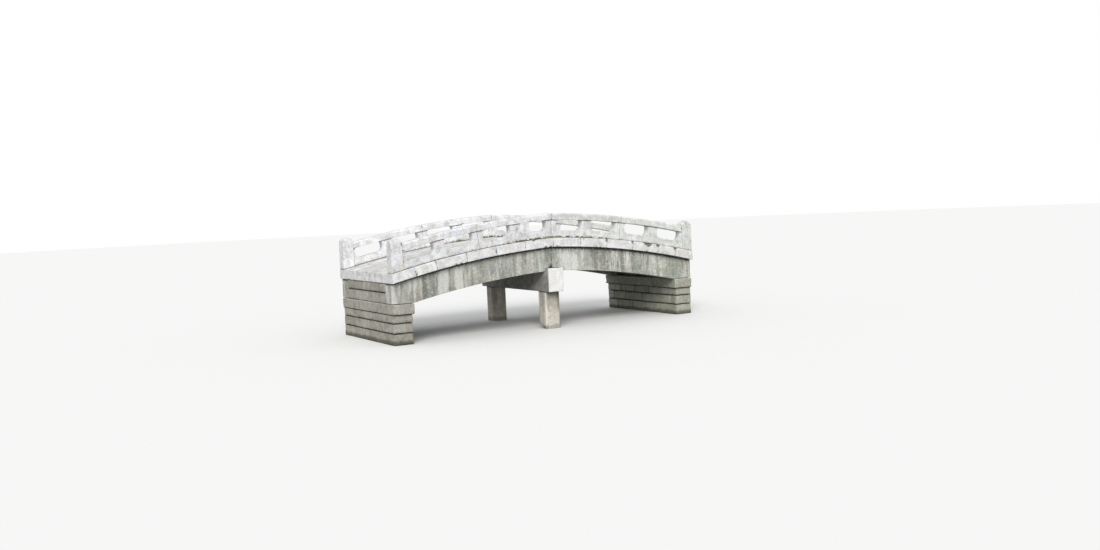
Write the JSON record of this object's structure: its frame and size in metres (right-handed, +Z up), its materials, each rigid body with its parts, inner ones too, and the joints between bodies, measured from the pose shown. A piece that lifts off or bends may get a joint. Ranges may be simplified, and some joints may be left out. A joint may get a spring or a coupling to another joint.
{
  "type": "low arched granite garden bridge with pierced parapets",
  "caption": "Low arched stone garden bridge: curved granite girders butted over a two-post pier, cross slabs, pierced parapets, handrails and domed end posts.",
  "frame": {"origin": "middle of the bridge at the surface of the water, which is the lowest point modelled", "axes": "+X along the bridge to the right of the pictured side, +Y across it away from the pictured side, +Z up"},
  "size_m": [6.28, 2.71, 2.1076],
  "materials": {
    "parapet_granite": "weathered",
    "deck_granite": "weathered",
    "girder_granite": "weathered",
    "cap_granite": "dressed",
    "pier_granite": "weathered",
    "abutment_granite": "rough"
  },
  "bodies": {
    "root": {"pier_post_front": "pier_granite", "pier_post_rear": "pier_granite", "pier_cap_beam": "cap_granite", "girder_front_left": "girder_granite", "girder_front_right": "girder_granite", "girder_rear_left": "girder_granite", "girder_rear_right": "girder_granite", "deck_slab_01": "deck_granite", "deck_slab_02": "deck_granite", "deck_slab_03": "deck_granite", "deck_slab_04": "deck_granite", "deck_slab_05": "deck_granite", "deck_slab_06": "deck_granite", "deck_slab_07": "deck_granite", "deck_slab_08": "deck_granite", "deck_slab_09": "deck_granite", "deck_slab_10": "deck_granite", "deck_slab_11": "deck_granite", "deck_slab_12": "deck_granite", "parapet_front_left_outer": "parapet_granite", "parapet_front_left_inner": "parapet_granite", "parapet_front_right_inner": "parapet_granite", "parapet_front_right_outer": "parapet_granite", "parapet_rear_left_outer": "parapet_granite", "parapet_rear_left_inner": "parapet_granite", "parapet_rear_right_inner": "parapet_granite", "parapet_rear_right_outer": "parapet_granite", "handrail_front_left_outer": "parapet_granite", "handrail_front_left_inner": "parapet_granite", "handrail_front_right_inner": "parapet_granite", "handrail_front_right_outer": "parapet_granite", "handrail_rear_left_outer": "parapet_granite", "handrail_rear_left_inner": "parapet_granite", "handrail_rear_right_inner": "parapet_granite", "handrail_rear_right_outer": "parapet_granite", "end_post_front_left": "parapet_granite", "end_post_front_right": "parapet_granite", "end_post_rear_left": "parapet_granite", "end_post_rear_right": "parapet_granite", "abutment_wall_left": "abutment_granite", "abutment_wall_right": "abutment_granite", "bearing_stone_left": "abutment_granite", "bearing_stone_right": "abutment_granite", "end_wall_left": "abutment_granite", "end_wall_right": "abutment_granite"}
  },
  "joints": []
}
